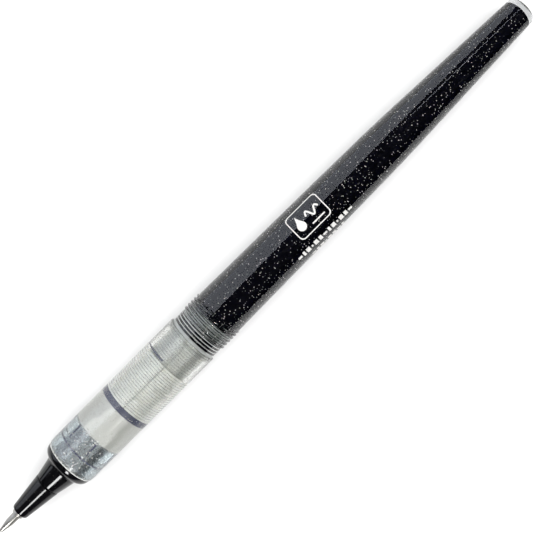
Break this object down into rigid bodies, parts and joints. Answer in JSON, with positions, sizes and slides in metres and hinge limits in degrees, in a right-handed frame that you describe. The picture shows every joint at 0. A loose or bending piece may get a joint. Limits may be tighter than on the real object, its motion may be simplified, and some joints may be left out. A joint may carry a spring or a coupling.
{
  "type": "liquid ink pen unit",
  "caption": "Slim liquid-ink rollerball unit with a steel ball point, black nose, clear grip over a finned ink collector, and a tapered clear tank with a barrel thread.",
  "frame": {"origin": "centre of the annular shoulder at the grip's rear end, which seats against a pen barrel", "axes": "+X along the pen's axis from the shoulder towards the closed tank end, so the ball points to -X; the unit is round, so +Z is any direction square to the axis"},
  "size_m": [0.12, 0.0094, 0.0094],
  "materials": {
    "ball": "polished",
    "tip_metal": "satin, turned",
    "fibre": "bonded fibre, ink-soaked",
    "nose_plastic": "glossy",
    "grip_clear": "clear, slightly milky",
    "sleeve_plastic": "translucent",
    "collector_plastic": "translucent, ink-wetted",
    "tank_clear": "clear, glossy",
    "ink": "liquid",
    "ink_film": "thin liquid film"
  },
  "bodies": {
    "pen": {"writing_tip": "tip_metal", "tip_core": "fibre", "tip_holder": "nose_plastic", "nose_cone": "nose_plastic", "grip_shell": "grip_clear", "front_sleeve": "sleeve_plastic", "collector": "collector_plastic", "tank_stopper": "collector_plastic", "feed_rod": "fibre", "ink_tank": "tank_clear", "tip_ink": "ink", "sleeve_ink": "ink_film", "collector_ink": "ink_film", "stopper_ink": "ink", "tank_ink": "ink"},
    "ball": {"ball": "ball"}
  },
  "joints": [
    {"name": "ball_roll", "type": "hinge", "parent": "pen", "child": "ball", "pos_m": [-0.04515, 0, 0], "axis": [0, 1, 0], "continuous": true}
  ]
}
